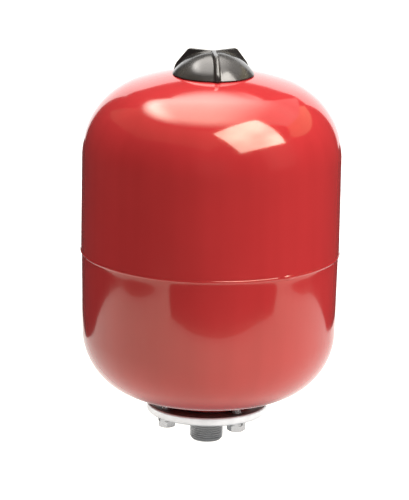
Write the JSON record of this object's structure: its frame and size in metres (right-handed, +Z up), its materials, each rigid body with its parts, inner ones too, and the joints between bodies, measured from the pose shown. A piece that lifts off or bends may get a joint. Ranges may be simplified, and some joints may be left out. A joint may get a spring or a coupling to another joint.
{
  "type": "expansion vessel",
  "caption": "Round red pressure vessel that stands on its threaded pipe nipple, with a rubber bag inside and an air valve under a finned screw cover; takes up the swelling of heated water.",
  "frame": {"origin": "centre of the connection flange's underside, on the vessel's axis, where the threaded nipple starts", "axes": "+Z up along the vessel's axis, from the nipple to the valve cover; -Y is the side that the picture shows"},
  "size_m": [0.2062, 0.2062, 0.317],
  "materials": {
    "red_paint": "glossy red stoved paint",
    "zinc_plate": "bright zinc plate",
    "nipple_steel": "dull machined steel",
    "bolt_zinc": "zinc plate",
    "bare_steel": "mill finish",
    "membrane_rubber": "moulded rubber",
    "seal_rubber": "moulded rubber",
    "valve_brass": "machined",
    "spring_steel": "bright wire",
    "cap_plastic": "moulded, ribbed grip",
    "cover_plastic": "moulded black plastic, glossy dome"
  },
  "bodies": {
    "tank": {"upper_shell": "red_paint", "lower_shell": "red_paint", "seam_weld": "red_paint", "counter_flange": "bare_steel", "counter_flange_weld": "bare_steel", "membrane": "membrane_rubber", "connection_flange": "zinc_plate", "pipe_nipple": "nipple_steel", "nipple_weld": "nipple_steel", "flange_bolts": "bolt_zinc", "lock_washers": "bolt_zinc", "valve_boss": "red_paint", "boss_weld": "bare_steel", "valve_stem": "valve_brass", "valve_gasket": "seal_rubber", "core_barrel": "valve_brass", "core_ring": "seal_rubber", "core_spring": "spring_steel"},
    "valve_pin": {"core_pin": "valve_brass", "poppet_seal": "seal_rubber"},
    "dust_cap_carriage": {"dust_cap_seal": "seal_rubber"},
    "dust_cap": {"dust_cap": "cap_plastic"},
    "cover_carriage": {"cover_seal": "seal_rubber"},
    "cover": {"valve_cover": "cover_plastic"}
  },
  "joints": [
    {"name": "cover_lift", "type": "slide", "parent": "tank", "child": "cover_carriage", "axis": [0, 0, 1], "range_m": [0, 0.00676]},
    {"name": "cover_turn", "type": "hinge", "parent": "cover_carriage", "child": "cover", "pos_m": [0, 0, 0.283], "axis": [0, 0, 1], "range_deg": [0, 810]},
    {"name": "dust_cap_lift", "type": "slide", "parent": "tank", "child": "dust_cap_carriage", "axis": [0, 0, 1], "range_m": [0, 0.00317]},
    {"name": "dust_cap_turn", "type": "hinge", "parent": "dust_cap_carriage", "child": "dust_cap", "pos_m": [0, 0, 0.2834], "axis": [0, 0, 1], "range_deg": [0, 1442]},
    {"name": "valve_pin_push", "type": "slide", "parent": "tank", "child": "valve_pin", "axis": [0, 0, -1], "range_m": [0, 0.0015], "stiffness_N_per_m": 300, "springref_m": -0.002, "deforming": ["core_spring"]}
  ],
  "couplings": [
    {"joint": "cover_lift", "follows": "cover_turn", "m_per_rad": 0.00047746},
    {"joint": "dust_cap_turn", "follows": "dust_cap_lift", "rad_per_m": 7915.8}
  ]
}
